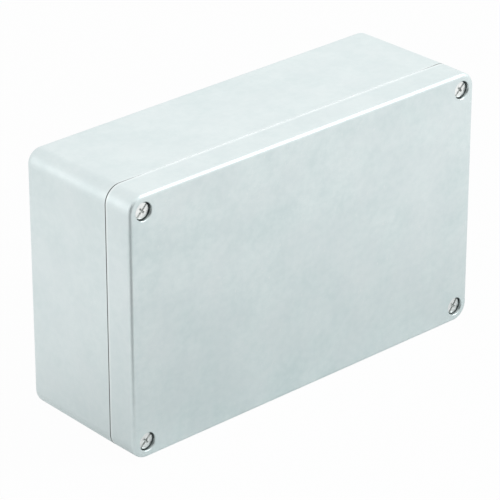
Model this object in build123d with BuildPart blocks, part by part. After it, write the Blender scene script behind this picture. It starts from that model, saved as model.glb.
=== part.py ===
from build123d import *
import os
from math import radians, tan

# A sealed die cast aluminium box: a deep base, a lid held by four captive screws, and a seal
# between them that steps in round the corner posts, so that every screw stays in the dry air
# outside it. Millimetres. The box stands on one long side, as it is shown: X runs along its
# length, Z is up and the lid faces -Y. The origin is on the ground under the middle.

# Overall form
length = 260.0
height = 160.0
base_depth = 70.0
lid_depth = 20.0
corner_r = 10.0
back_edge_r = 5.5
front_edge_r = 2.5
seam_edge_r = 0.35
base_draft = 0.69
lid_draft = 0.15

# Walls of the castings
wall = 4.0
base_floor = 4.0
lid_face = 3.5
core_draft = 0.9
floor_fillet_r = 1.6

# Corner posts, with a lid screw and a wall fixing hole in each
screw_inset = 10.0
fixing_step = 15.0
post_margin = 9.0

# Tongue on the base, groove and rib in the lid, and the gasket between them
seal_corner_r = 5.0
inner_land = 0.2
tongue_width = 1.6
tongue_height = 2.0
tongue_chamfer = 0.3
groove_width = 2.6
groove_depth = 5.0
gasket_side_gap = 0.1
gasket_chamfer = 0.5
rib_width = 1.5

# Lid screws
head_r = 5.0
head_height = 3.9
head_edge_r = 0.6
head_sink = 1.8
neck_r = 2.3
thread_r = 3.0
thread_pitch = 1.0
thread_turns = 10
tip_chamfer = 0.8
slot_width = 1.3
slot_depth = 1.8
cross_span = 4.4
cross_width = 1.3
cross_depth = 2.4
cross_taper = 12.0
slot_angles = {
    "upper_left": 43.0,
    "upper_right": 44.0,
    "lower_left": 42.0,
    "lower_right": 52.0,
}

# Places that the lid screws turn and slide in
running_gap = 0.05
passing_gap = 0.2
stop_gap = 0.3
counterbore_gap = 0.5
counterbore_chamfer = 0.3
screw_hole_spare = 3.0
mouth_chamfer = 0.5
countersink_angle = 90.0

# Clips that keep the lid screws in the lid
clip_thickness = 0.8
clip_r = 4.4
clip_gap_width = 3.6
clip_pocket_gap = 0.4

# Wall fixing holes, through the back of the base
fixing_r = 3.3
fixing_head_r = 5.5
fixing_web = 8.0
lid_recess_depth = 12.0

# Bosses inside, for a mounting plate, a rail and the earth screws
boss_r = 6.0
boss_height = 8.0
boss_draft = 3.0
boss_root_r = 1.0
boss_tap_r = 2.5
boss_hole_depth = 10.0
plate_pitch_x = 190.0
plate_pitch_z = 100.0
rail_pitch = 200.0

# Earth screw with its two washers, one set in the base and one in the lid
earth_x = -60.0
base_earth_z = -50.0
lid_earth_z = 45.0
earth_thread_r = 2.5
earth_head_r = 4.25
earth_head_height = 3.3
earth_head_edge_r = 0.5
earth_screw_length = 10.0
earth_slot_width = 1.2
earth_slot_depth = 1.6
earth_tip_chamfer = 0.6
base_earth_slot_angle = 35.0
lid_earth_slot_angle = 110.0
washer_r = 5.0
washer_thickness = 1.0
lock_washer_r = 4.6
lock_washer_thickness = 1.2
lock_washer_slit = 0.9
lock_washer_slit_angle = 70.0
lock_washer_slit_slant = -25.0
washer_gap = 0.15

# How near an edge must lie to the depth that it is picked by
pick_gap = 0.01

# Depths along Y
front_y = -(base_depth + lid_depth) / 2
seam_y = front_y + lid_depth
back_y = seam_y + base_depth
floor_y = back_y - base_floor
lid_inner_y = front_y + lid_face
seat_y = front_y + head_sink + head_height
travel = thread_turns * thread_pitch
shoulder_y = seam_y - passing_gap
clip_front_y = shoulder_y - clip_thickness
lid_web_y = clip_front_y - travel - stop_gap
boss_top_y = floor_y - boss_height
lid_boss_top_y = lid_inner_y + boss_height

# Places of the posts and the seal line across the box
post_x = length / 2 - screw_inset
post_z = height / 2 - screw_inset
fixing_z = post_z - fixing_step
seal_inset = wall - inner_land - tongue_width / 2
post_places = {
    "upper_left": (-post_x, post_z),
    "upper_right": (post_x, post_z),
    "lower_left": (-post_x, -post_z),
    "lower_right": (post_x, -post_z),
}

# Insets from the seal line, positive towards the middle of the box
cavity_inset = wall - seal_inset
groove_inset = groove_width / 2
rib_inset = groove_inset + rib_width
gasket_inset = groove_inset - gasket_side_gap

# How far each drafted wall leans over its depth
base_lean = base_depth * tan(radians(base_draft))
lid_lean = lid_depth * tan(radians(lid_draft))
cavity_lean = (base_depth - base_floor) * tan(radians(core_draft))
lid_cavity_lean = (lid_depth - lid_face) * tan(radians(core_draft))
boss_lean = boss_height * tan(radians(boss_draft))


def across(y, x=0.0, z=0.0):
    """Plane across the box at depth y, with X to the right, Z up and its normal towards the lid."""
    return Plane(origin=(x, y, height / 2 + z), x_dir=(1, 0, 0), z_dir=(0, -1, 0))


def seal_loop(inset):
    """Corner points and radii of the seal line moved in by inset: it steps in round each post."""
    far_x = length / 2 - seal_inset - inset
    far_z = height / 2 - seal_inset - inset
    near_x = post_x - post_margin - inset
    near_z = fixing_z - post_margin - inset
    corner = [(near_x, far_z), (near_x, near_z), (far_x, near_z)]
    points = corner + [(x, -z) for x, z in reversed(corner)]
    points += [(-x, -z) for x, z in corner] + [(-x, z) for x, z in reversed(corner)]
    radii = [seal_corner_r - inset, seal_corner_r + inset, seal_corner_r - inset] * 4
    return points, radii


def seal_face(inset):
    """Face bounded by the seal line moved in by inset, for the sketch that it is called in."""
    points, radii = seal_loop(inset)
    with BuildSketch(mode=Mode.PRIVATE) as face:
        with BuildLine():
            FilletPolyline(*points, radius=radii, close=True)
        make_face()
    return face.sketch


def seal_band(half_width):
    """Band of the given half width along the seal line."""
    return seal_face(-half_width) - seal_face(half_width)


os.makedirs("parts", exist_ok=True)

# Base casting
with BuildPart() as base_casting:
    # Outside, widest at the seam and drafted towards the back
    with BuildSketch(across(seam_y)):
        RectangleRounded(length, height, corner_r)
    with BuildSketch(across(back_y)):
        RectangleRounded(length - 2 * base_lean, height - 2 * base_lean, corner_r - base_lean)
    loft(ruled=True)
    fillet(base_casting.faces().sort_by(Axis.Y)[-1].edges(), back_edge_r)
    fillet(base_casting.faces().sort_by(Axis.Y)[0].edges(), seam_edge_r)

    # Inside, in one core that leaves the four corner posts standing
    with BuildSketch(across(seam_y)):
        add(seal_face(cavity_inset))
    with BuildSketch(across(floor_y)):
        add(seal_face(cavity_inset + cavity_lean))
    loft(ruled=True, mode=Mode.SUBTRACT)
    floor_rim = base_casting.edges().filter_by_position(Axis.Y, floor_y - pick_gap, floor_y + pick_gap)
    fillet(floor_rim, floor_fillet_r)

    # Bosses on the floor
    with Locations(across(floor_y)):
        with GridLocations(plate_pitch_x, plate_pitch_z, 2, 2):
            Cone(boss_r + boss_lean, boss_r, boss_height, align=(Align.CENTER, Align.CENTER, Align.MIN))
        with GridLocations(rail_pitch, 0, 2, 1):
            Cone(boss_r + boss_lean, boss_r, boss_height, align=(Align.CENTER, Align.CENTER, Align.MIN))
        with Locations((earth_x, base_earth_z)):
            Cone(boss_r + boss_lean, boss_r, boss_height, align=(Align.CENTER, Align.CENTER, Align.MIN))
    boss_roots = base_casting.edges().filter_by(GeomType.CIRCLE)
    boss_roots = boss_roots.filter_by_position(Axis.Y, floor_y - pick_gap, floor_y + pick_gap)
    fillet(boss_roots.filter_by(lambda root: root.is_closed), boss_root_r)
    with Locations(across(boss_top_y)):
        with GridLocations(plate_pitch_x, plate_pitch_z, 2, 2):
            CounterSinkHole(
                boss_tap_r, boss_tap_r + mouth_chamfer, boss_hole_depth, countersink_angle
            )
        with GridLocations(rail_pitch, 0, 2, 1):
            CounterSinkHole(
                boss_tap_r, boss_tap_r + mouth_chamfer, boss_hole_depth, countersink_angle
            )
        with Locations((earth_x, base_earth_z)):
            Hole(earth_thread_r + running_gap, boss_hole_depth)

    # Tongue that presses into the gasket
    with BuildSketch(across(seam_y)):
        add(seal_band(tongue_width / 2))
    extrude(amount=tongue_height)
    chamfer(base_casting.faces().sort_by(Axis.Y)[0].edges(), tongue_chamfer)

    # Lid screw holes and wall fixing holes in the posts
    with Locations(across(seam_y)):
        with GridLocations(2 * post_x, 2 * post_z, 2, 2):
            CounterSinkHole(
                thread_r + running_gap,
                thread_r + mouth_chamfer,
                travel + screw_hole_spare,
                countersink_angle,
            )
        with GridLocations(2 * post_x, 2 * fixing_z, 2, 2):
            CounterBoreHole(fixing_r, fixing_head_r, base_depth - fixing_web)

# Lid casting
with BuildPart() as lid_casting:
    # Outside, widest at the seam
    with BuildSketch(across(seam_y)):
        RectangleRounded(length, height, corner_r)
    with BuildSketch(across(front_y)):
        RectangleRounded(length - 2 * lid_lean, height - 2 * lid_lean, corner_r - lid_lean)
    loft(ruled=True)
    fillet(lid_casting.faces().sort_by(Axis.Y)[0].edges(), front_edge_r)
    fillet(lid_casting.faces().sort_by(Axis.Y)[-1].edges(), seam_edge_r)

    # Inside, up to the rib beside the groove
    with BuildSketch(across(seam_y)):
        add(seal_face(rib_inset))
    with BuildSketch(across(lid_inner_y)):
        add(seal_face(rib_inset + lid_cavity_lean))
    loft(ruled=True, mode=Mode.SUBTRACT)
    face_rim = lid_casting.edges().filter_by_position(
        Axis.Y, lid_inner_y - pick_gap, lid_inner_y + pick_gap
    )
    fillet(face_rim, floor_fillet_r)

    # Groove for the gasket
    with BuildSketch(across(seam_y)):
        add(seal_band(groove_inset))
    extrude(amount=groove_depth, mode=Mode.SUBTRACT)

    # Counterbored screw holes, each with a pocket behind its web for the clip
    with Locations(across(front_y)):
        with GridLocations(2 * post_x, 2 * post_z, 2, 2):
            CounterBoreHole(thread_r + passing_gap, head_r + counterbore_gap, head_sink + head_height)
    counterbore_rims = lid_casting.faces().sort_by(Axis.Y)[0].inner_wires().edges()
    chamfer(counterbore_rims, counterbore_chamfer)
    with Locations(across(seam_y)):
        with GridLocations(2 * post_x, 2 * post_z, 2, 2):
            Cylinder(
                clip_r + clip_pocket_gap,
                seam_y - lid_web_y,
                align=(Align.CENTER, Align.CENTER, Align.MIN),
                mode=Mode.SUBTRACT,
            )

        # Cored recesses over the wall fixing holes
        with GridLocations(2 * post_x, 2 * fixing_z, 2, 2):
            Cylinder(
                fixing_head_r,
                lid_recess_depth,
                align=(Align.CENTER, Align.CENTER, Align.MIN),
                mode=Mode.SUBTRACT,
            )

    # Earth boss on the inner face
    with Locations(across(lid_inner_y)):
        with Locations((earth_x, lid_earth_z)):
            Cone(boss_r, boss_r + boss_lean, boss_height, align=(Align.CENTER, Align.CENTER, Align.MAX))
    boss_roots = lid_casting.edges().filter_by(GeomType.CIRCLE)
    boss_roots = boss_roots.filter_by_position(
        Axis.Y, lid_inner_y - pick_gap, lid_inner_y + pick_gap
    )
    fillet(boss_roots.filter_by(lambda root: root.is_closed), boss_root_r)
    with Locations(Plane(origin=(earth_x, lid_boss_top_y, height / 2 + lid_earth_z), z_dir=(0, 1, 0))):
        Hole(earth_thread_r + running_gap, boss_hole_depth)

# Gasket, lying on the bottom of the groove with the tongue against it
with BuildPart() as lid_gasket:
    with BuildSketch(across(seam_y - tongue_height)):
        add(seal_band(gasket_inset))
    extrude(amount=groove_depth - tongue_height)
    chamfer(lid_gasket.faces().sort_by(Axis.Y)[0].edges(), gasket_chamfer)


def captive_screw(x, z, slot_angle):
    """Lid screw: cheese head with a slot and a small cross, thin neck, and a short thread."""
    seat = across(seat_y, x, z)
    shoulder = across(shoulder_y, x, z)
    top = seat.offset(head_height)
    with BuildPart() as screw:
        with BuildSketch(seat):
            Circle(head_r)
        extrude(amount=head_height)
        fillet(screw.edges().sort_by(Axis.Y)[0], head_edge_r)
        with BuildSketch(shoulder):
            Circle(neck_r)
        extrude(amount=shoulder_y - seat_y)
        with BuildSketch(shoulder):
            Circle(thread_r)
        extrude(amount=-travel)
        chamfer(screw.edges().sort_by(Axis.Y)[-1], tip_chamfer)
        with BuildSketch(top):
            Rectangle(2 * head_r, slot_width, rotation=slot_angle)
        extrude(amount=-slot_depth, mode=Mode.SUBTRACT)
        for sink in (0.0, cross_depth):
            shrink = 2 * sink * tan(radians(cross_taper))
            with BuildSketch(top.offset(-sink)):
                Rectangle(cross_span - shrink, cross_width - shrink / 4, rotation=slot_angle)
                Rectangle(cross_width - shrink / 4, cross_span - shrink, rotation=slot_angle)
        loft(ruled=True, mode=Mode.SUBTRACT)
    return screw.part


def retaining_clip(x, z, slot_angle):
    """Open clip on the neck of a lid screw, against the shoulder of its thread."""
    bore_r = neck_r + running_gap
    with BuildPart() as clip:
        with BuildSketch(across(shoulder_y, x, z)):
            Circle(clip_r)
            Circle(bore_r, mode=Mode.SUBTRACT)
            with PolarLocations(clip_r, 1, start_angle=slot_angle):
                Rectangle(2 * clip_r, clip_gap_width, mode=Mode.SUBTRACT)
        extrude(amount=clip_thickness)
    return clip.part


def earth_screw(seat, slot_angle):
    """Slotted cheese head screw, whose head rests on the plane that it is given."""
    with BuildPart() as screw:
        with BuildSketch(seat):
            Circle(earth_head_r)
        extrude(amount=earth_head_height)
        head_rim = screw.edges().filter_by(
            lambda edge: seat.to_local_coords(edge.center()).Z > pick_gap
        )
        fillet(head_rim.filter_by(GeomType.CIRCLE), earth_head_edge_r)
        with BuildSketch(seat):
            Circle(earth_thread_r)
        extrude(amount=-earth_screw_length)
        tip = screw.edges().filter_by(
            lambda edge: seat.to_local_coords(edge.center()).Z < pick_gap - earth_screw_length
        )
        chamfer(tip, earth_tip_chamfer)
        with BuildSketch(seat.offset(earth_head_height)):
            Rectangle(2 * earth_head_r, earth_slot_width, rotation=slot_angle)
        extrude(amount=-earth_slot_depth, mode=Mode.SUBTRACT)
    return screw.part


def plain_washer(seat):
    """Flat washer lying on the plane that it is given."""
    with BuildPart() as washer:
        with BuildSketch(seat):
            Circle(washer_r)
            Circle(earth_thread_r + washer_gap, mode=Mode.SUBTRACT)
        extrude(amount=washer_thickness)
    return washer.part


def lock_washer(seat):
    """Split spring washer lying on the plane that it is given, cut through at a slant."""
    slit_radius = (lock_washer_r + earth_thread_r) / 2
    with BuildPart() as washer:
        with BuildSketch(seat):
            Circle(lock_washer_r)
            Circle(earth_thread_r + washer_gap, mode=Mode.SUBTRACT)
            with PolarLocations(slit_radius, 1, start_angle=lock_washer_slit_angle):
                Rectangle(
                    2 * lock_washer_r,
                    lock_washer_slit,
                    rotation=lock_washer_slit_slant,
                    mode=Mode.SUBTRACT,
                )
        extrude(amount=lock_washer_thickness)
    return washer.part


def earth_set(owner, seat, slot_angle):
    """Washer, spring washer and screw stacked on a boss, by the names of their nodes."""
    return {
        f"{owner}_earth_washer": plain_washer(seat),
        f"{owner}_earth_lock_washer": lock_washer(seat.offset(washer_thickness)),
        f"{owner}_earth_screw": earth_screw(
            seat.offset(washer_thickness + lock_washer_thickness), slot_angle
        ),
    }


pieces = {
    "base_casting": base_casting.part,
    "lid_casting": lid_casting.part,
    "lid_gasket": lid_gasket.part,
}
for corner_name, (place_x, place_z) in post_places.items():
    angle = slot_angles[corner_name]
    pieces[f"lid_screw_{corner_name}"] = captive_screw(place_x, place_z, angle)
    pieces[f"screw_clip_{corner_name}"] = retaining_clip(place_x, place_z, angle)

base_earth_seat = across(boss_top_y, earth_x, base_earth_z)
lid_earth_seat = Plane(
    origin=(earth_x, lid_boss_top_y, height / 2 + lid_earth_z), x_dir=(-1, 0, 0), z_dir=(0, 1, 0)
)
pieces |= earth_set("base", base_earth_seat, base_earth_slot_angle)
pieces |= earth_set("lid", lid_earth_seat, lid_earth_slot_angle)

for node_name, piece in pieces.items():
    piece.label = node_name
    export_step(piece, f"parts/{node_name}.step")
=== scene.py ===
"""Looks of the sealed die cast aluminium box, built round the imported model, in metres."""

from __future__ import annotations

import logging
import math
from dataclasses import dataclass, field
from enum import Enum

import bmesh
import bpy
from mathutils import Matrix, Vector


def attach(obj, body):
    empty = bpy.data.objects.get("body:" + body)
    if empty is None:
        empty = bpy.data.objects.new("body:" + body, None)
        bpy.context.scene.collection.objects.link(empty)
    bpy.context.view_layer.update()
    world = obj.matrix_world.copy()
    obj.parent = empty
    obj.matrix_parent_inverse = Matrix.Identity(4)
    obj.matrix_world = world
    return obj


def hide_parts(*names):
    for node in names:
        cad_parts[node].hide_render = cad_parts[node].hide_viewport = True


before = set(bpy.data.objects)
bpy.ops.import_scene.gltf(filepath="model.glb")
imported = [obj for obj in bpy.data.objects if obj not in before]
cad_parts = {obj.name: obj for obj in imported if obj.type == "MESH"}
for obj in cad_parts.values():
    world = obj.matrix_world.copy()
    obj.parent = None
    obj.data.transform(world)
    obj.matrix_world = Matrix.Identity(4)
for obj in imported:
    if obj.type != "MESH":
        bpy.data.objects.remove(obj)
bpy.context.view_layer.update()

log = logging.getLogger("die_cast_box")

MM = 0.001
Triple = tuple[float, float, float]


@dataclass(frozen=True)
class Plan:
    """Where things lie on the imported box, in metres."""

    half_length: float = 130.0 * MM
    half_height: float = 80.0 * MM
    middle_z: float = 80.0 * MM
    corner_r: float = 10.0 * MM
    screw_x: float = 120.0 * MM
    screw_z: float = 70.0 * MM
    seam_y: float = -25.0 * MM
    base_floor_y: float = 41.0 * MM
    lid_inner_y: float = -41.5 * MM


PLAN = Plan()


class Corner(Enum):
    """Corners of the lid, seen from its front, as the nodes are named."""

    UPPER_LEFT = "upper_left"
    UPPER_RIGHT = "upper_right"
    LOWER_LEFT = "lower_left"
    LOWER_RIGHT = "lower_right"


class Casting(Enum):
    """The two castings, by the name of the body that each belongs to."""

    BASE = "base"
    LID = "lid"


class Nodes:
    """Adds nodes to one tree and joins their sockets."""

    def __init__(self, tree: bpy.types.NodeTree) -> None:
        """Keeps the tree that the nodes go into.

        Args:
            tree: A shader or geometry node tree.
        """
        self.tree = tree

    def add(
        self,
        kind: str,
        settings: dict[str, object] | None = None,
        inputs: dict[str | int, object] | None = None,
    ) -> bpy.types.Node:
        """Adds a node.

        Args:
            kind: The node's type in Blender.
            settings: Attributes of the node, by name.
            inputs: For each input, by name or number, its value or the socket that feeds it.

        Returns:
            The new node.
        """
        node = self.tree.nodes.new(kind)
        for name, value in (settings or {}).items():
            setattr(node, name, value)
        for key, value in (inputs or {}).items():
            if isinstance(value, bpy.types.NodeSocket):
                self.tree.links.new(value, node.inputs[key])
            else:
                node.inputs[key].default_value = value
        return node

    def maths(self, operation: str, *values: object) -> bpy.types.NodeSocket:
        """Adds one step of arithmetic.

        Args:
            operation: The operation, as Blender names it.
            *values: Its numbers or sockets, in order.

        Returns:
            The result's socket.
        """
        return self.add("ShaderNodeMath", {"operation": operation}, dict(enumerate(values))).outputs[0]

    def vector(self, operation: str, *values: object) -> bpy.types.NodeSocket:
        """Adds one step of vector arithmetic.

        Args:
            operation: The operation, as Blender names it.
            *values: Its vectors or sockets, in order.

        Returns:
            The result's vector socket.
        """
        node = self.add("ShaderNodeVectorMath", {"operation": operation}, dict(enumerate(values)))
        return node.outputs["Vector"]

    def place(self) -> bpy.types.NodeSocket:
        """Reads the place on the object.

        Returns:
            The Object coordinates' socket.
        """
        return self.add("ShaderNodeTexCoord").outputs["Object"]

    def axes(self) -> dict[str, bpy.types.NodeSocket]:
        """Splits the place on the object.

        Returns:
            The sockets of X, Y and Z, by name.
        """
        split = self.add("ShaderNodeSeparateXYZ", None, {0: self.place()})
        return {socket.name: socket for socket in split.outputs}

    def triple(self, *values: object) -> bpy.types.NodeSocket:
        """Joins three numbers to a vector.

        Args:
            *values: The numbers or sockets for X, Y and Z.

        Returns:
            The vector's socket.
        """
        return self.add("ShaderNodeCombineXYZ", None, dict(enumerate(values))).outputs[0]

    def ramp(
        self, value: object, low: object, high: float, start: float = 0.0, end: float = 1.0
    ) -> bpy.types.NodeSocket:
        """Maps one range of numbers to another with smooth ends.

        Args:
            value: The number's socket.
            low: Where the range begins.
            high: Where the range ends.
            start: The result at low.
            end: The result at high.

        Returns:
            The result's socket.
        """
        node = self.add(
            "ShaderNodeMapRange",
            {"interpolation_type": "SMOOTHSTEP"},
            {"Value": value, "From Min": low, "From Max": high, "To Min": start, "To Max": end},
        )
        return node.outputs["Result"]

    def noise(
        self, where: object, scale: object = 1.0, detail: object = 2.0, roughness: float = 0.5
    ) -> bpy.types.NodeSocket:
        """Adds smooth noise.

        Args:
            where: The place's socket.
            scale: How many times the place is multiplied.
            detail: How many finer layers there are.
            roughness: How strong the finer layers are.

        Returns:
            The noise's socket, from 0 to 1.
        """
        values = {"Vector": where, "Scale": scale, "Detail": detail, "Roughness": roughness}
        return self.add("ShaderNodeTexNoise", None, values).outputs[0]

    def off_corners(self, x: float, z: float, level: bool = False) -> bpy.types.NodeSocket:
        """Measures how far a place is, seen from the front, from the nearest of four corners.

        Args:
            x: How far the corners are from the box's middle, sideways.
            z: How far they are from its middle, up and down.
            level: Whether a place between two corners counts as level with them.

        Returns:
            The distance's socket.
        """
        axes = self.axes()
        across = self.maths("SUBTRACT", self.maths("ABSOLUTE", axes["X"]), x)
        lift = self.maths("ABSOLUTE", self.maths("SUBTRACT", axes["Z"], PLAN.middle_z))
        rise = self.maths("SUBTRACT", lift, z)
        if level:
            across, rise = (self.maths("MAXIMUM", side, 0.0) for side in (across, rise))
        squares = (self.maths("MULTIPLY", side, side) for side in (across, rise))
        return self.maths("SQRT", self.maths("ADD", *squares))

    def blend(self, share: object, first: object, second: object) -> bpy.types.NodeSocket:
        """Mixes two colours.

        Args:
            share: How much of the second is in the result.
            first: The first colour or its socket.
            second: The second colour or its socket.

        Returns:
            The mixed colour's socket.
        """
        node = self.add("ShaderNodeMix", {"data_type": "RGBA"}, {0: share, 6: first, 7: second})
        return node.outputs[2]


def colour(red: float, green: float, blue: float) -> tuple[float, float, float, float]:
    """Gives a colour socket's value for a linear colour.

    Args:
        red: Red, from 0 to 1.
        green: Green, from 0 to 1.
        blue: Blue, from 0 to 1.

    Returns:
        The colour with full alpha.
    """
    return red, green, blue, 1.0


def shader_group(
    name: str, inputs: dict[str, float], outputs: list[str]
) -> tuple[Nodes, bpy.types.Node, bpy.types.Node]:
    """Starts a shader node group.

    Args:
        name: The group's name.
        inputs: Its number inputs and their usual values.
        outputs: Its number outputs.

    Returns:
        The group's nodes, its input node and its output node.
    """
    tree = bpy.data.node_groups.new(name, "ShaderNodeTree")
    for label, value in inputs.items():
        socket = tree.interface.new_socket(name=label, in_out="INPUT", socket_type="NodeSocketFloat")
        socket.default_value = value
    for label in outputs:
        tree.interface.new_socket(name=label, in_out="OUTPUT", socket_type="NodeSocketFloat")
    nodes = Nodes(tree)
    return nodes, nodes.add("NodeGroupInput"), nodes.add("NodeGroupOutput")


class Effects:
    """The shader node groups that more than one finish uses."""

    tint_offset: Triple = (17.3, 4.1, 9.7)
    cloud_edges: tuple[float, float] = (0.3, 0.7)
    cloud_roughness: float = 0.55
    wave_scale: float = 0.06
    fleck_chances: tuple[float, float] = (0.45, 0.95)
    scratch_slants: tuple[tuple[float, Triple], ...] = ((0.45, (0.0, 0.0, 0.0)), (-0.95, (3.1, 1.7, 5.3)))
    scratch_edges: tuple[float, float] = (0.72, 0.8)
    worn_scale: float = 40.0
    worn_edges: tuple[float, float] = (0.45, 0.65)

    def __init__(self) -> None:
        """Builds every group once."""
        self.clouds = self._clouds()
        self.grain = self._grain()
        self.flecks = self._flecks()
        self.scratches = self._scratches()

    def _clouds(self) -> bpy.types.NodeTree:
        """Soft patches, in two independent masks.

        Returns:
            The group.
        """
        nodes, given, made = shader_group(
            "soft_patches", {"Patch Size": 0.02, "Detail": 3.0}, ["Light", "Tint"]
        )
        scale = nodes.maths("DIVIDE", 1.0, given.outputs["Patch Size"])
        near = nodes.vector("MULTIPLY", nodes.place(), nodes.triple(scale, scale, scale))
        far = nodes.vector("ADD", near, self.tint_offset)
        for label, where in (("Light", near), ("Tint", far)):
            noise = nodes.noise(where, 1.0, given.outputs["Detail"], self.cloud_roughness)
            nodes.tree.links.new(nodes.ramp(noise, *self.cloud_edges), made.inputs[label])
        return nodes.tree

    def _grain(self) -> bpy.types.NodeTree:
        """Fine even grain with broader waves, for a bump's height.

        Returns:
            The group.
        """
        nodes, given, made = shader_group(
            "fine_grain", {"Grain Size": 0.0005, "Unevenness": 0.0}, ["Height"]
        )
        scale = nodes.maths("DIVIDE", 1.0, given.outputs["Grain Size"])
        fine = nodes.noise(nodes.place(), scale)
        broad = nodes.noise(nodes.place(), nodes.maths("MULTIPLY", scale, self.wave_scale), 1.0)
        waves = nodes.maths("MULTIPLY", broad, given.outputs["Unevenness"])
        nodes.tree.links.new(nodes.maths("ADD", fine, waves), made.inputs["Height"])
        return nodes.tree

    def _flecks(self) -> bpy.types.NodeTree:
        """Scattered small flecks, longer upright than across.

        Returns:
            The group.
        """
        nodes, given, made = shader_group(
            "small_flecks", {"Spacing": 0.004, "Fleck Size": 0.1, "Upright Stretch": 2.0}, ["Flecks"]
        )
        across = nodes.maths("DIVIDE", 1.0, given.outputs["Spacing"])
        upright = nodes.maths("DIVIDE", across, given.outputs["Upright Stretch"])
        where = nodes.vector("MULTIPLY", nodes.place(), nodes.triple(across, across, upright))
        cells = nodes.add("ShaderNodeTexVoronoi", None, {"Vector": where, "Scale": 1.0, "Randomness": 1.0})
        near = nodes.ramp(cells.outputs["Distance"], given.outputs["Fleck Size"], 0.0)
        chance = nodes.add("ShaderNodeSeparateColor", None, {0: cells.outputs["Color"]}).outputs[0]
        kept = nodes.ramp(chance, *self.fleck_chances)
        nodes.tree.links.new(nodes.maths("MULTIPLY", near, kept), made.inputs["Flecks"])
        return nodes.tree

    def _scratches(self) -> bpy.types.NodeTree:
        """Short thin scratches in two directions, where handling has left them.

        Returns:
            The group.
        """
        nodes, given, made = shader_group(
            "handling_scratches", {"Scratch Length": 0.012, "Scratch Width": 0.0005}, ["Scratches"]
        )
        place = nodes.place()
        along = nodes.maths("DIVIDE", 1.0, given.outputs["Scratch Length"])
        thin = nodes.maths("DIVIDE", 1.0, given.outputs["Scratch Width"])
        total: object = 0.0
        for slant, shift in self.scratch_slants:
            turned = nodes.add(
                "ShaderNodeMapping",
                {"vector_type": "POINT"},
                {"Vector": place, "Rotation": (0.0, slant, slant / 2)},
            )
            where = nodes.vector("MULTIPLY", turned.outputs[0], nodes.triple(along, thin, thin))
            noise = nodes.noise(nodes.vector("ADD", where, shift), 1.0, 0.0)
            total = nodes.maths("ADD", total, nodes.ramp(noise, *self.scratch_edges))
        worn = nodes.ramp(nodes.noise(place, self.worn_scale, 1.0), *self.worn_edges)
        marks = nodes.maths("MINIMUM", nodes.maths("MULTIPLY", total, worn), 1.0)
        nodes.tree.links.new(marks, made.inputs["Scratches"])
        return nodes.tree


class Finish:
    """A procedural material for one kind of surface."""

    def start(self, name: str) -> tuple[bpy.types.Material, Nodes, bpy.types.Node]:
        """Makes an empty material.

        Args:
            name: The material's name.

        Returns:
            The material, its nodes and its Principled shader.
        """
        material = bpy.data.materials.new(name)
        material.use_nodes = True
        nodes = Nodes(material.node_tree)
        return material, nodes, material.node_tree.nodes["Principled BSDF"]

    def group(self, nodes: Nodes, tree: bpy.types.NodeTree, values: dict[str, float]) -> bpy.types.Node:
        """Places a shared group in a material.

        Args:
            nodes: The material's nodes.
            tree: The group.
            values: Its inputs, by name.

        Returns:
            The group's node.
        """
        return nodes.add("ShaderNodeGroup", {"node_tree": tree}, values)

    def bump(self, nodes: Nodes, shader: bpy.types.Node, height: object, depth: float) -> None:
        """Gives a shader a bump.

        Args:
            nodes: The material's nodes.
            shader: The Principled shader.
            height: The socket that gives the height, from 0 to 1.
            depth: How deep a height of 1 is, in metres.
        """
        node = nodes.add("ShaderNodeBump", None, {"Strength": 1.0, "Distance": depth, "Height": height})
        nodes.tree.links.new(node.outputs[0], shader.inputs["Normal"])


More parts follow.
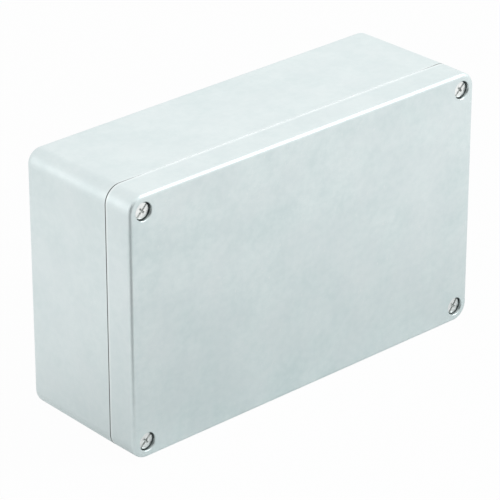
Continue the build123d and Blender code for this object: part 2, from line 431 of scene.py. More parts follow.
@dataclass(frozen=True)
class CastAluminium(Finish):
    """Bare tumbled casting: satin, faintly cloudy, with small bright flecks and light scratches."""

    pale: Triple = (0.815, 0.9, 0.9)
    deep: Triple = (0.72, 0.818, 0.822)
    rosy: Triple = (0.8, 0.86, 0.87)
    rosy_share: float = 0.45
    patch_size: float = 26.0 * MM
    mottle_size: float = 4.5 * MM
    mottle_share: float = 0.42
    fleck: Triple = (0.9, 0.94, 0.94)
    fleck_spacing: float = 4.2 * MM
    fleck_size: float = 0.16
    fleck_stretch: float = 1.9
    fleck_share: float = 0.7
    scratch_share: float = 0.5
    grain_size: float = 0.55 * MM
    grain_depth: float = 0.012 * MM
    smooth: float = 0.42
    rough: float = 0.5
    metal: float = 0.88
    even: Triple = (0.735, 0.802, 0.806)
    evenness: float = 0.5
    even_from_y: float = -44.2 * MM
    even_past: float = 2.0 * MM
    skin: tuple[float, float] = (0.35 * MM, 0.15 * MM)
    # painted shade: a dark line in the gap where the lid meets the base, strongest round the two ends
    joint: Triple = (0.05, 0.055, 0.055)
    gap_shade_share: float = 0.95
    joint_half: float = 0.5 * MM
    gap_shade_ends: tuple[float, float] = (100.0 * MM, 127.0 * MM)
    gap_shade_between: float = 0.25
    # painted highlight: a lighter band on both sides of the seam, stronger on the lid's side
    painted_seam_highlight: Triple = (0.93, 0.98, 0.98)
    seam_highlight_share: float = 0.6
    seam_highlight_width: float = 2.2 * MM
    base_seam_highlight: float = 0.35
    soft_start: float = 0.4
    # painted shade: the counterbores round the lid screws are darker, as if in shade; their smoother
    # roughness is real machining
    cut: Triple = (0.42, 0.46, 0.46)
    bore_shade_share: float = 0.75
    cut_smoothing: float = 0.35
    cut_r: float = 5.7 * MM
    cut_from_y: float = -44.6 * MM

    def material(self, name: str, effects: Effects, machined: bool) -> bpy.types.Material:
        """Builds the material.

        Args:
            name: Its name.
            effects: The shared groups.
            machined: Whether the places round the lid screws are cut smooth and darkened with painted
                shade.

        Returns:
            The material.
        """
        made, nodes, shader = self.start(name)
        shader.inputs["Metallic"].default_value = self.metal
        clouds = self.group(nodes, effects.clouds, {"Patch Size": self.patch_size, "Detail": 3.0})
        mottle = self.group(nodes, effects.clouds, {"Patch Size": self.mottle_size, "Detail": 2.0})
        grain = self.group(nodes, effects.grain, {"Grain Size": self.grain_size, "Unevenness": 6.0})
        broad = nodes.maths("MULTIPLY", clouds.outputs["Light"], 1.0 - self.mottle_share)
        share = nodes.maths("MULTIPLY_ADD", mottle.outputs["Light"], self.mottle_share, broad)
        calm = self._sides(nodes)
        rosy = nodes.maths("MULTIPLY", clouds.outputs["Tint"], self.rosy_share)
        bright = nodes.maths("MULTIPLY", self._bright(nodes, effects), nodes.maths("SUBTRACT", 1.0, calm))
        tone = nodes.blend(share, colour(*self.deep), colour(*self.pale))
        tone = nodes.blend(rosy, tone, colour(*self.rosy))
        tone = nodes.blend(calm, tone, colour(*self.even))
        tone = nodes.blend(bright, tone, colour(*self.fleck))
        # painted highlight beside the seam
        tone = nodes.blend(self._painted_seam_highlight(nodes), tone, colour(*self.painted_seam_highlight))
        # painted shade in the gap where the castings meet
        tone = nodes.blend(self._painted_gap_shade(nodes), tone, colour(*self.joint))
        roughness = nodes.ramp(share, 0.0, 1.0, self.rough, self.smooth)
        if machined:
            cut = self._machined(nodes)
            # painted shade darkens the counterbores; the smoothing below is the real machined surface
            tone = nodes.blend(nodes.maths("MULTIPLY", cut, self.bore_shade_share), tone, colour(*self.cut))
            smoothed = nodes.maths("MULTIPLY_ADD", cut, -self.cut_smoothing, 1.0)
            roughness = nodes.maths("MULTIPLY", roughness, smoothed)
        nodes.tree.links.new(tone, shader.inputs["Base Color"])
        nodes.tree.links.new(roughness, shader.inputs["Roughness"])
        self.bump(nodes, shader, grain.outputs["Height"], self.grain_depth)
        return made

    def _bright(self, nodes: Nodes, effects: Effects) -> bpy.types.NodeSocket:
        """Masks the bright flecks and scratches.

        Args:
            nodes: The material's nodes.
            effects: The shared groups.

        Returns:
            The mask's socket.
        """
        flecks = self.group(
            nodes,
            effects.flecks,
            {
                "Spacing": self.fleck_spacing,
                "Fleck Size": self.fleck_size,
                "Upright Stretch": self.fleck_stretch,
            },
        )
        scratches = self.group(
            nodes, effects.scratches, {"Scratch Length": 6.0 * MM, "Scratch Width": 0.45 * MM}
        )
        return nodes.maths(
            "MAXIMUM",
            nodes.maths("MULTIPLY", flecks.outputs["Flecks"], self.fleck_share),
            nodes.maths("MULTIPLY", scratches.outputs["Scratches"], self.scratch_share),
        )

    def _sides(self, nodes: Nodes) -> bpy.types.NodeSocket:
        """Masks the sides and the back, whose skin is more even than the lid's flat face.

        Args:
            nodes: The material's nodes.

        Returns:
            The mask's socket, as strong as the evenness.
        """
        start = self.even_from_y
        return nodes.ramp(nodes.axes()["Y"], start, start + self.even_past, 0.0, self.evenness)

    def _outside(self, nodes: Nodes) -> bpy.types.NodeSocket:
        """Masks the outer skin near the seam, whose outline is a rounded rectangle.

        Args:
            nodes: The material's nodes.

        Returns:
            The mask's socket.
        """
        radius = PLAN.corner_r
        away = nodes.off_corners(PLAN.half_length - radius, PLAN.half_height - radius, level=True)
        deep, shallow = self.skin
        return nodes.ramp(away, radius - deep, radius - shallow)

    def _painted_gap_shade(self, nodes: Nodes) -> bpy.types.NodeSocket:
        """Masks the painted shade in the gap where the castings meet, strongest round the two ends.

        Args:
            nodes: The material's nodes.

        Returns:
            The mask's socket.
        """
        axes = nodes.axes()
        off = nodes.maths("ABSOLUTE", nodes.maths("SUBTRACT", axes["Y"], PLAN.seam_y))
        line = nodes.ramp(off, self.joint_half * self.soft_start, self.joint_half, 1.0, 0.0)
        ends = nodes.ramp(nodes.maths("ABSOLUTE", axes["X"]), *self.gap_shade_ends, self.gap_shade_between, 1.0)
        mask = nodes.maths("MULTIPLY", nodes.maths("MULTIPLY", line, ends), self._outside(nodes))
        return nodes.maths("MULTIPLY", mask, self.gap_shade_share)

    def _painted_seam_highlight(self, nodes: Nodes) -> bpy.types.NodeSocket:
        """Masks the painted highlight on both sides of the line where the castings meet.

        Args:
            nodes: The material's nodes.

        Returns:
            The mask's socket, stronger on the lid's side.
        """
        lid_side = nodes.maths("SUBTRACT", PLAN.seam_y, nodes.axes()["Y"])
        off = nodes.maths("ABSOLUTE", lid_side)
        near = nodes.ramp(off, self.seam_highlight_width * self.soft_start, self.seam_highlight_width, 1.0, 0.0)
        side = nodes.ramp(lid_side, -self.joint_half, self.joint_half, self.base_seam_highlight, 1.0)
        mask = nodes.maths("MULTIPLY", nodes.maths("MULTIPLY", near, self._outside(nodes)), side)
        return nodes.maths("MULTIPLY", mask, self.seam_highlight_share)

    def _machined(self, nodes: Nodes) -> bpy.types.NodeSocket:
        """Masks the counterbores of the four lid screws.

        Args:
            nodes: The material's nodes.

        Returns:
            The mask's socket.
        """
        away = nodes.off_corners(PLAN.screw_x, PLAN.screw_z)
        inside = nodes.maths("LESS_THAN", away, self.cut_r)
        below = nodes.maths("GREATER_THAN", nodes.axes()["Y"], self.cut_from_y)
        return nodes.maths("MULTIPLY", inside, below)


@dataclass(frozen=True)
class TurnedSteel(Finish):
    """Stainless steel of the lid screws, with the fine rings that turning leaves."""

    face: Triple = (0.97, 0.98, 0.97)
    dull: Triple = (0.84, 0.87, 0.86)
    dull_share: float = 0.7
    stain_size: float = 2.2 * MM
    smooth: float = 0.22
    rough: float = 0.36
    ring_pitch: float = 0.28 * MM
    ring_depth: float = 0.003 * MM

    def material(self, name: str, effects: Effects) -> bpy.types.Material:
        """Builds the material.

        Args:
            name: Its name.
            effects: The shared groups.

        Returns:
            The material.
        """
        made, nodes, shader = self.start(name)
        shader.inputs["Metallic"].default_value = 1.0
        away = nodes.off_corners(PLAN.screw_x, PLAN.screw_z)
        rings = nodes.maths("SINE", nodes.maths("MULTIPLY", away, 2 * math.pi / self.ring_pitch))
        stains = self.group(nodes, effects.clouds, {"Patch Size": self.stain_size, "Detail": 2.0})
        stained = nodes.maths("MULTIPLY", stains.outputs["Light"], self.dull_share)
        tone = nodes.blend(stained, colour(*self.face), colour(*self.dull))
        worn = nodes.ramp(stains.outputs["Tint"], 0.0, 1.0, self.smooth, self.rough)
        nodes.tree.links.new(tone, shader.inputs["Base Color"])
        nodes.tree.links.new(worn, shader.inputs["Roughness"])
        self.bump(nodes, shader, rings, self.ring_depth)
        return made


@dataclass(frozen=True)
class PlainMetal(Finish):
    """Small stamped or plated metal: a tone that wanders a little, and fine handling marks."""

    face: Triple
    dull: Triple
    smooth: float
    rough: float
    patch_size: float = 3.0 * MM
    grain_depth: float = 0.004 * MM
    scratch_shine: float = 0.08

    def material(self, name: str, effects: Effects) -> bpy.types.Material:
        """Builds the material.

        Args:
            name: Its name.
            effects: The shared groups.

        Returns:
            The material.
        """
        made, nodes, shader = self.start(name)
        shader.inputs["Metallic"].default_value = 1.0
        stains = self.group(nodes, effects.clouds, {"Patch Size": self.patch_size, "Detail": 3.0})
        scratches = self.group(
            nodes, effects.scratches, {"Scratch Length": 3.0 * MM, "Scratch Width": 0.15 * MM}
        )
        grain = self.group(nodes, effects.grain, {"Grain Size": 0.2 * MM, "Unevenness": 2.0})
        tone = nodes.blend(stains.outputs["Light"], colour(*self.dull), colour(*self.face))
        nodes.tree.links.new(tone, shader.inputs["Base Color"])
        worn = nodes.ramp(stains.outputs["Tint"], 0.0, 1.0, self.smooth, self.rough)
        worn = nodes.maths("MULTIPLY_ADD", scratches.outputs["Scratches"], -self.scratch_shine, worn)
        nodes.tree.links.new(worn, shader.inputs["Roughness"])
        self.bump(nodes, shader, grain.outputs["Height"], self.grain_depth)
        return made


@dataclass(frozen=True)
class ClosedCellRubber(Finish):
    """Matt dark rubber with a fine pebbled skin and a little dust."""

    skin: Triple = (0.016, 0.016, 0.018)
    dusty: Triple = (0.045, 0.045, 0.046)
    dust_share: float = 0.6
    smooth: float = 0.6
    rough: float = 0.8
    pebble_depth: float = 0.03 * MM

    def material(self, name: str, effects: Effects) -> bpy.types.Material:
        """Builds the material.

        Args:
            name: Its name.
            effects: The shared groups.

        Returns:
            The material.
        """
        made, nodes, shader = self.start(name)
        dust = self.group(nodes, effects.clouds, {"Patch Size": 8.0 * MM, "Detail": 4.0})
        grain = self.group(nodes, effects.grain, {"Grain Size": 0.3 * MM, "Unevenness": 1.0})
        dusted = nodes.maths("MULTIPLY", dust.outputs["Light"], self.dust_share)
        tone = nodes.blend(dusted, colour(*self.skin), colour(*self.dusty))
        worn = nodes.ramp(dust.outputs["Tint"], 0.0, 1.0, self.smooth, self.rough)
        nodes.tree.links.new(tone, shader.inputs["Base Color"])
        nodes.tree.links.new(worn, shader.inputs["Roughness"])
        self.bump(nodes, shader, grain.outputs["Height"], self.pebble_depth)
        return made


SPRING_STEEL = PlainMetal(face=(0.5, 0.51, 0.52), dull=(0.36, 0.37, 0.38), smooth=0.28, rough=0.42)
ZINC_PLATE = PlainMetal(face=(0.78, 0.79, 0.78), dull=(0.6, 0.62, 0.63), smooth=0.25, rough=0.4)
STAMPED_BRASS = PlainMetal(face=(0.78, 0.6, 0.26), dull=(0.62, 0.45, 0.18), smooth=0.26, rough=0.42)


def dress(node: str, material: bpy.types.Material) -> None:
    """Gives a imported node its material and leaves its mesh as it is.

    Args:
        node: The node's name.
        material: The material.
    """
    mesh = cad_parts[node].data
    mesh.materials.clear()
    mesh.materials.append(material)
    log.info("%s wears %s", node, material.name)


def settle(
    source: bpy.types.Object, name: str, body: str, material: bpy.types.Material
) -> bpy.types.Object:
    """Turns an object with a geometry tree into a plain mesh that rides on a body.

    Args:
        source: The object, whose modifier gives the shape. It is removed.
        name: The finished piece's name.
        body: The body that the piece rides on.
        material: Its material.

    Returns:
        The finished piece.
    """
    graph = bpy.context.evaluated_depsgraph_get()
    mesh = bpy.data.meshes.new_from_object(source.evaluated_get(graph))
    source.modifiers.clear()
    bpy.data.objects.remove(source)
    mesh.name = name
    mesh.materials.clear()
    mesh.materials.append(material)
    piece = bpy.data.objects.new(name, mesh)
    bpy.context.scene.collection.objects.link(piece)
    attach(piece, body)
    log.info("%s: %d faces, on body %s", name, len(mesh.polygons), body)
    return piece


@dataclass
class GeometryTree:
    """A geometry node tree with named inputs, and the values that one piece gives them."""

    name: str
    sizes: dict[str, tuple[str, object]]
    nodes: Nodes = field(init=False)
    given: bpy.types.Node = field(init=False)
    result: bpy.types.Node = field(init=False)
    sockets: dict[str, str] = field(init=False, default_factory=dict)

    def __post_init__(self) -> None:
        """Makes the tree with its inputs and its geometry output."""
        tree = bpy.data.node_groups.new(self.name, "GeometryNodeTree")
        tree.is_modifier = True
        tree.interface.new_socket(name="Geometry", in_out="INPUT", socket_type="NodeSocketGeometry")
        for label, (kind, _) in self.sizes.items():
            socket = tree.interface.new_socket(name=label, in_out="INPUT", socket_type=kind)
            self.sockets[label] = socket.identifier
        tree.interface.new_socket(name="Geometry", in_out="OUTPUT", socket_type="NodeSocketGeometry")
        self.nodes = Nodes(tree)
        self.given = self.nodes.add("NodeGroupInput")
        self.result = self.nodes.add("NodeGroupOutput")

    def close(self, shape: bpy.types.NodeSocket) -> None:
        """Ends the tree: real meshes with their material.

        Args:
            shape: The geometry to put out.
        """
        real = self.nodes.add("GeometryNodeRealizeInstances", None, {"Geometry": shape})
        coated = self.nodes.add(
            "GeometryNodeSetMaterial",
            None,
            {"Geometry": real.outputs[0], "Material": self.given.outputs["Finish"]},
        )
        self.nodes.tree.links.new(coated.outputs[0], self.result.inputs[0])

    def grow(self, mesh: bpy.types.Mesh, changes: dict[str, object]) -> bpy.types.Object:
        """Puts the tree on a new object.

        Args:
            mesh: The mesh that the tree starts from.
            changes: Inputs that differ from the tree's usual values.

        Returns:
            The object, with its modifier.
        """
        holder = bpy.data.objects.new(self.name, mesh)
        bpy.context.scene.collection.objects.link(holder)
        modifier = holder.modifiers.new(self.name, "NODES")
        modifier.node_group = self.nodes.tree
        for label, (_, usual) in self.sizes.items():
            modifier[self.sockets[label]] = changes.get(label, usual)
        return holder


@dataclass
class LidScrews:
    """Four captive screws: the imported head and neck, with a rolled thread under them."""

    thread_r: float = 3.0 * MM
    root_r: float = 2.44 * MM
    pitch: float = 1.0 * MM
    thread_length: float = 9.99 * MM
    clip_clearance: float = 0.01 * MM
    neck_cut: float = 0.05 * MM
    neck_overlap: float = 0.1 * MM
    shoulder_y: float = -25.2 * MM
    sides: int = 40
    rows: int = 130
    turns_ahead: float = 50.0
    flank_edges: tuple[float, float] = (0.1, 0.9)
    tip_length: float = 0.5 * MM
    tip_share: float = 0.82
    sharp_angle: float = 32.0

    def head(self, corner: Corner) -> bpy.types.Mesh:
        """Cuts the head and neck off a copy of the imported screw.

        Args:
            corner: Which screw.

        Returns:
            A closed mesh of the head and neck.
        """
        work = bmesh.new()
        work.from_mesh(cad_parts[f"lid_screw_{corner.value}"].data)
        bmesh.ops.remove_doubles(work, verts=work.verts, dist=1e-6)
        everything = [*work.verts, *work.edges, *work.faces]
        bmesh.ops.bisect_plane(
            work,
            geom=everything,
            plane_co=(0.0, self.shoulder_y - self.neck_cut, 0.0),
            plane_no=(0.0, 1.0, 0.0),
            clear_outer=True,
        )
        rim = [edge for edge in work.edges if edge.is_boundary]
        neck_end = [vert for vert in work.verts if vert.is_boundary]
        bmesh.ops.translate(work, verts=neck_end, vec=(0.0, self.neck_cut + self.neck_overlap, 0.0))
        bmesh.ops.holes_fill(work, edges=rim, sides=0)
        bmesh.ops.recalc_face_normals(work, faces=work.faces)
        mesh = bpy.data.meshes.new(f"head_{corner.value}")
        work.to_mesh(mesh)
        work.free()
        stale = mesh.attributes.get("custom_normal")
        if stale is not None:
            mesh.attributes.remove(stale)
        mesh.shade_smooth()
        mesh.set_sharp_from_angle(angle=math.radians(self.sharp_angle))
        return mesh

    def thread_tree(self) -> GeometryTree:
        """Builds the tree that rolls a thread and joins it to the head.

        Returns:
            The tree.
        """
        tree = GeometryTree(
            "rolled_thread",
            {
                "Middle": ("NodeSocketVector", (0.0, 0.0, 0.0)),
                "Outer Radius": ("NodeSocketFloat", self.thread_r),
                "Root Radius": ("NodeSocketFloat", self.root_r),
                "Pitch": ("NodeSocketFloat", self.pitch),
                "Length": ("NodeSocketFloat", self.thread_length),
                "Sides": ("NodeSocketInt", self.sides),
                "Rows": ("NodeSocketInt", self.rows),
                "Finish": ("NodeSocketMaterial", None),
            },
        )
        nodes, given = tree.nodes, tree.given.outputs
        rod = nodes.add(
            "GeometryNodeMeshCylinder",
            {"fill_type": "TRIANGLE_FAN"},
            {
                "Vertices": given["Sides"],
                "Side Segments": given["Rows"],
                "Radius": given["Outer Radius"],
                "Depth": given["Length"],
            },
        )
        point = nodes.add("GeometryNodeInputPosition").outputs[0]
        axes = nodes.add("ShaderNodeSeparateXYZ", None, {0: point})
        angle = nodes.maths("ARCTAN2", axes.outputs["Y"], axes.outputs["X"])
        turn = nodes.maths("DIVIDE", angle, 2 * math.pi)
        along = nodes.maths("DIVIDE", axes.outputs["Z"], given["Pitch"])
        turns = nodes.maths("ADD", nodes.maths("SUBTRACT", along, turn), self.turns_ahead)
        phase = nodes.maths("FRACT", turns)
        crest = nodes.maths("ABSOLUTE", nodes.maths("MULTIPLY_ADD", phase, 2.0, -1.0))
        flank = nodes.ramp(crest, *self.flank_edges)
        half = nodes.maths("MULTIPLY", given["Length"], 0.5)
        to_end = nodes.maths("SUBTRACT", half, nodes.maths("ABSOLUTE", axes.outputs["Z"]))
        fade = nodes.maths("MINIMUM", nodes.maths("DIVIDE", to_end, given["Pitch"]), 1.0)
        depth = nodes.maths("SUBTRACT", given["Outer Radius"], given["Root Radius"])
        faded = nodes.maths("MULTIPLY", flank, fade)
        radius = nodes.maths("MULTIPLY_ADD", depth, faded, given["Root Radius"])
        below = nodes.maths("SUBTRACT", half, axes.outputs["Z"])
        tip = nodes.ramp(below, 0.0, self.tip_length, self.tip_share, 1.0)
        shrink = nodes.maths("MULTIPLY", nodes.maths("DIVIDE", radius, given["Outer Radius"]), tip)
        place = nodes.triple(
            nodes.maths("MULTIPLY", axes.outputs["X"], shrink),
            nodes.maths("MULTIPLY", axes.outputs["Y"], shrink),
            axes.outputs["Z"],
        )
        cut = nodes.add(
            "GeometryNodeSetPosition", None, {"Geometry": rod.outputs["Mesh"], "Position": place}
        )
        smooth = nodes.add("GeometryNodeSetShadeSmooth", None, {"Geometry": cut.outputs[0]})
        moved = nodes.add(
            "GeometryNodeTransform",
            None,
            {
                "Geometry": smooth.outputs[0],
                "Translation": given["Middle"],
                "Rotation": (math.radians(-90), 0.0, 0.0),
            },
        )
        both = nodes.add("GeometryNodeJoinGeometry")
        nodes.tree.links.new(given["Geometry"], both.inputs[0])
        nodes.tree.links.new(moved.outputs[0], both.inputs[0])
        tree.close(both.outputs[0])
        return tree

    def build(self, steel: bpy.types.Material) -> None:
        """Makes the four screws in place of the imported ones.

        Args:
            steel: Their finish.
        """
        tree = self.thread_tree()
        for corner in Corner:
            x = -PLAN.screw_x if "left" in corner.value else PLAN.screw_x
            z = PLAN.middle_z + (PLAN.screw_z if "upper" in corner.value else -PLAN.screw_z)
            middle = (x, self.shoulder_y + self.clip_clearance + self.thread_length / 2, z)
            holder = tree.grow(self.head(corner), {"Middle": middle, "Finish": steel})
            name, body = f"threaded_screw_{corner.value}", f"screw_{corner.value}"
            piece = settle(holder, name, body, steel)
            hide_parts(f"lid_screw_{corner.value}")


@dataclass
class EjectorMarks:
    """Rows of round marks that the die's pins leave inside a casting, a hair proud of it."""

    casting: Casting
    face_y: float
    columns: int
    rows: int
    width: float
    height: float
    mark_r: float = 3.2 * MM
    half_thickness: float = 0.14 * MM
    outwards: float = 0.01 * MM
    sides: int = 40

    def build(self, metal: bpy.types.Material) -> bpy.types.Object:
        """Makes the marks as one piece.

        Args:
            metal: The casting's finish.

        Returns:
            The piece.
        """
        into = -1.0 if self.casting is Casting.BASE else 1.0
        tree = GeometryTree(
            f"{self.casting.value}_pin_marks",
            {
                "Columns": ("NodeSocketInt", self.columns),
                "Rows": ("NodeSocketInt", self.rows),
                "Width": ("NodeSocketFloat", self.width),
                "Height": ("NodeSocketFloat", self.height),
                "Mark Radius": ("NodeSocketFloat", self.mark_r),
                "Thickness": ("NodeSocketFloat", 2 * self.half_thickness),
                "Finish": ("NodeSocketMaterial", metal),
            },
        )
        nodes, given = tree.nodes, tree.given.outputs
        grid = nodes.add(
            "GeometryNodeMeshGrid",
            None,
            {
                "Size X": given["Width"],
                "Size Y": given["Height"],
                "Vertices X": given["Columns"],
                "Vertices Y": given["Rows"],
            },
        )
        disc = nodes.add(
            "GeometryNodeMeshCylinder",
            {"fill_type": "NGON"},
            {"Vertices": self.sides, "Radius": given["Mark Radius"], "Depth": given["Thickness"]},
        )
        spread = nodes.add(
            "GeometryNodeInstanceOnPoints",
            None,
            {"Points": grid.outputs["Mesh"], "Instance": disc.outputs["Mesh"]},
        )
        moved = nodes.add(
            "GeometryNodeTransform",
            None,
            {
                "Geometry": spread.outputs[0],
                "Translation": (0.0, self.face_y + into * self.outwards, PLAN.middle_z),
                "Rotation": (math.radians(90), 0.0, 0.0),
            },
        )
        tree.close(moved.outputs[0])
        holder = tree.grow(bpy.data.meshes.new("nothing"), {})
        return settle(holder, f"{self.casting.value}_ejector_marks", self.casting.value, metal)


@dataclass
class Shell:
    """One casting, its ejector marks and the earth screw set that it carries."""

    casting: Casting
    finish: CastAluminium
    marks: EjectorMarks

    def build(self, effects: Effects, zinc: bpy.types.Material, brass: bpy.types.Material) -> None:
        """Dresses the casting and what is fixed in it.

        Args:
            effects: The shared groups.
            zinc: Finish of the earth screw and its spring washer.
            brass: Finish of the flat washer.
        """
        name = self.casting.value
        metal = self.finish.material(f"tumbled_{name}_casting", effects, self.casting is Casting.LID)
        dress(f"{name}_casting", metal)
        dress(f"{name}_earth_screw", zinc)
        dress(f"{name}_earth_lock_washer", zinc)
        dress(f"{name}_earth_washer", brass)
        self.marks.build(metal)


@dataclass
class Fastening:
    """The lid's seal, its four captive screws and the clips that keep them."""

    screws: LidScrews

    def build(self, effects: Effects) -> None:
        """Dresses the seal and clips and makes the screws.

        Args:
            effects: The shared groups.
        """
        dress("lid_gasket", ClosedCellRubber().material("gasket_rubber", effects))
        spring = SPRING_STEEL.material("clip_spring_steel", effects)
        for corner in Corner:
            dress(f"screw_clip_{corner.value}", spring)
        self.screws.build(TurnedSteel().material("turned_screw_steel", effects))


@dataclass(frozen=True)
class Softbox:
    """A square lamp that faces the object: its place, side, power in watts and colour."""

    name: str
    place: Triple
    size: float
    power: float
    tint: Triple = (1.0, 1.0, 1.0)


@dataclass(frozen=True)
class Card:
    """A square grey card that only shows in reflections, as round a metal part in a studio."""

    name: str
    place: Triple
    size: float
    faces: Triple
    tone: float


SOFTBOXES = (
    Softbox("key_softbox", place=(1.35, -1.05, 1.55), size=1.0, power=14.0),
    Softbox("top_softbox", place=(0.95, 1.0, 0.95), size=0.9, power=0.3, tint=(1.0, 0.92, 0.88)),
    Softbox("end_softbox", place=(-1.9, 0.9, 0.7), size=1.2, power=3.0),
)
CARDS = (
    Card("dark_card", place=(-1.5, -1.75, 0.35), size=2.2, faces=(0.0, 0.0, 0.08), tone=0.062),
    Card("low_card", place=(-0.52, -0.42, 0.15), size=0.4, faces=(-0.13, -0.045, 0.08), tone=0.062),
    # painted shade: a grey sheet on the floor in front of the box, seen only in reflections, stands in for
    # the floor's shade there
    Card("floor_shade_card", place=(-0.32, -0.24, 0.004), size=0.3, faces=(-0.32, -0.24, 1.0), tone=0.4),
)


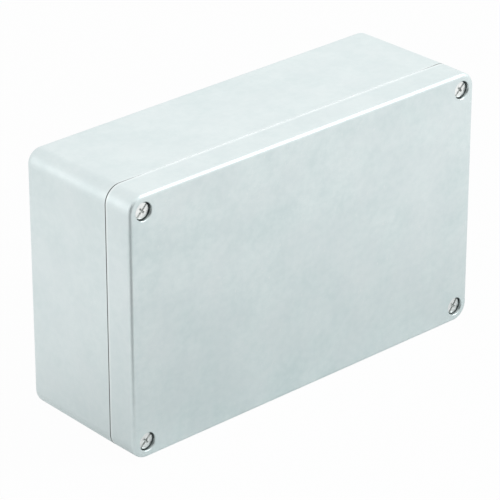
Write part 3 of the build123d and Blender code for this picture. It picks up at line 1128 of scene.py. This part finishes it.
@dataclass
class Studio:
    """Floor, soft light and the camera."""

    floor_size: float = 14.0
    floor_tone: Triple = (0.8, 0.81, 0.81)
    camera_place: Triple = (-1.06498, -1.17286, 0.85852)
    camera_target: Triple = (-0.00201, 0.00182, 0.07086)
    lens: float = 222.38
    sensor_width: float = 36.0
    clip_range: tuple[float, float] = (0.05, 50.0)
    lamp_target: Triple = (0.0, 0.0, 0.08)
    ambient: float = 0.55
    ambient_tint: Triple = (0.97, 1.0, 1.0)
    white: Triple = (1.0, 1.0, 1.0)
    paper: float = 0.97
    mirrored_paper: float = 0.95
    shaded_paper: float = 0.2
    shade_middle: tuple[float, float] = (0.0, -0.07)
    shade_reach: tuple[float, float] = (0.5, 0.26)
    card_roughness: float = 0.9

    def build(self) -> None:
        """Makes the whole studio."""
        self._world()
        self._floor()
        for softbox in SOFTBOXES:
            self._lamp(softbox)
        for card in CARDS:
            self._card(card)
        self._camera()
        scene = bpy.context.scene
        scene.view_settings.view_transform = "Standard"
        log.info("studio ready")

    def _seen(self, nodes: Nodes) -> bpy.types.NodeSocket:
        """Masks the rays that show the background: straight, mirrored or through glass.

        Args:
            nodes: The nodes of the floor or the world.

        Returns:
            The mask's socket.
        """
        path = nodes.add("ShaderNodeLightPath")
        mirrored = nodes.maths("MAXIMUM", path.outputs["Is Camera Ray"], path.outputs["Is Glossy Ray"])
        return nodes.maths("MAXIMUM", mirrored, path.outputs["Is Transmission Ray"])

    def _world(self) -> None:
        """Lights the room evenly from all round, and shows it white."""
        world = bpy.data.worlds.new("room")
        bpy.context.scene.world = world
        world.use_nodes = True
        nodes = Nodes(world.node_tree)
        world.node_tree.nodes.clear()
        lit = nodes.add("ShaderNodeBackground", None, {0: colour(*self.ambient_tint), 1: self.ambient})
        white = nodes.add("ShaderNodeBackground", None, {0: colour(*self.white), 1: 1.0})
        mixed = nodes.add(
            "ShaderNodeMixShader", None, {0: self._seen(nodes), 1: lit.outputs[0], 2: white.outputs[0]}
        )
        nodes.add("ShaderNodeOutputWorld", None, {0: mixed.outputs[0]})

    def _sheet(self, name: str, size: float) -> bpy.types.Mesh:
        """Makes a flat square that faces up.

        Args:
            name: The mesh's name.
            size: The length of its sides, in metres.

        Returns:
            The mesh.
        """
        work = bmesh.new()
        bmesh.ops.create_grid(work, x_segments=1, y_segments=1, size=size / 2)
        mesh = bpy.data.meshes.new(name)
        work.to_mesh(mesh)
        work.free()
        return mesh

    def _floor(self) -> None:
        """Lays a pale floor that shows white and keeps the object's shadow."""
        mesh = self._sheet("floor", self.floor_size)
        material = bpy.data.materials.new("pale_paper")
        material.use_nodes = True
        nodes = Nodes(material.node_tree)
        material.node_tree.nodes.clear()
        paper = nodes.add("ShaderNodeBsdfDiffuse", None, {0: colour(*self.floor_tone)})
        glow = nodes.add("ShaderNodeEmission", None, {0: colour(*self.white), 1: 1.0})
        path = nodes.add("ShaderNodeLightPath")
        # painted shade: in reflections the floor shows less white in an ellipse in front of the box, from
        # shade_middle out to shade_reach
        off = nodes.vector("SUBTRACT", nodes.place(), (*self.shade_middle, 0.0))
        off = nodes.vector("DIVIDE", off, (*self.shade_reach, 1.0))
        away = nodes.add("ShaderNodeVectorMath", {"operation": "LENGTH"}, {0: off}).outputs["Value"]
        mirrored = nodes.ramp(away, 0.0, 1.0, self.shaded_paper, self.mirrored_paper)
        more = nodes.maths("SUBTRACT", self.paper, mirrored)
        straight = nodes.maths("MULTIPLY", path.outputs["Is Camera Ray"], more)
        share = nodes.maths("MULTIPLY_ADD", self._seen(nodes), mirrored, straight)
        mixed = nodes.add("ShaderNodeMixShader", None, {0: share, 1: paper.outputs[0], 2: glow.outputs[0]})
        nodes.add("ShaderNodeOutputMaterial", None, {0: mixed.outputs[0]})
        mesh.materials.append(material)
        floor = bpy.data.objects.new("floor", mesh)
        bpy.context.scene.collection.objects.link(floor)

    def _card(self, card: Card) -> None:
        """Sets up a card.

        Args:
            card: What it is like.
        """
        mesh = self._sheet(card.name, card.size)
        turned = (Vector(card.faces) - Vector(card.place)).to_track_quat("Z", "Y").to_matrix().to_4x4()
        turned.translation = Vector(card.place)
        mesh.transform(turned)
        material = bpy.data.materials.new(card.name)
        material.use_nodes = True
        shader = material.node_tree.nodes["Principled BSDF"]
        shader.inputs["Base Color"].default_value = colour(card.tone, card.tone, card.tone)
        shader.inputs["Roughness"].default_value = self.card_roughness
        mesh.materials.append(material)
        piece = bpy.data.objects.new(card.name, mesh)
        piece.visible_camera = False
        piece.visible_diffuse = False
        piece.visible_shadow = False
        piece.visible_transmission = False
        bpy.context.scene.collection.objects.link(piece)

    def _lamp(self, softbox: Softbox) -> None:
        """Hangs a softbox.

        Args:
            softbox: What it is like.
        """
        data = bpy.data.lights.new(softbox.name, "AREA")
        data.shape = "SQUARE"
        data.size = softbox.size
        data.energy = softbox.power
        data.color = softbox.tint
        lamp = bpy.data.objects.new(softbox.name, data)
        lamp.location = softbox.place
        aim = Vector(self.lamp_target) - Vector(softbox.place)
        lamp.rotation_euler = aim.to_track_quat("-Z", "Y").to_euler()
        bpy.context.scene.collection.objects.link(lamp)

    def _camera(self) -> None:
        """Sets the camera at the place that fits the photograph."""
        data = bpy.data.cameras.new("camera")
        data.lens = self.lens
        data.sensor_width = self.sensor_width
        data.clip_start, data.clip_end = self.clip_range
        camera = bpy.data.objects.new("camera", data)
        place, target = Vector(self.camera_place), Vector(self.camera_target)
        camera.location = place
        camera.rotation_euler = (target - place).to_track_quat("-Z", "Y").to_euler()
        bpy.context.scene.collection.objects.link(camera)
        bpy.context.scene.camera = camera


def main() -> None:
    """Builds the studio and dresses the box, one sub-assembly at a time."""
    logging.basicConfig(level=logging.INFO, format="%(name)s: %(message)s")
    Studio().build()
    effects = Effects()
    zinc = ZINC_PLATE.material("zinc_plate", effects)
    brass = STAMPED_BRASS.material("stamped_brass", effects)
    Shell(
        Casting.BASE,
        CastAluminium(),
        EjectorMarks(
            Casting.BASE, PLAN.base_floor_y, columns=4, rows=3, width=150.0 * MM, height=124.0 * MM
        ),
    ).build(effects, zinc, brass)
    Shell(
        Casting.LID,
        CastAluminium(),
        EjectorMarks(
            Casting.LID, PLAN.lid_inner_y, columns=4, rows=2, width=160.0 * MM, height=80.0 * MM
        ),
    ).build(effects, zinc, brass)
    Fastening(LidScrews()).build(effects)


if __name__ == "__main__":
    main()
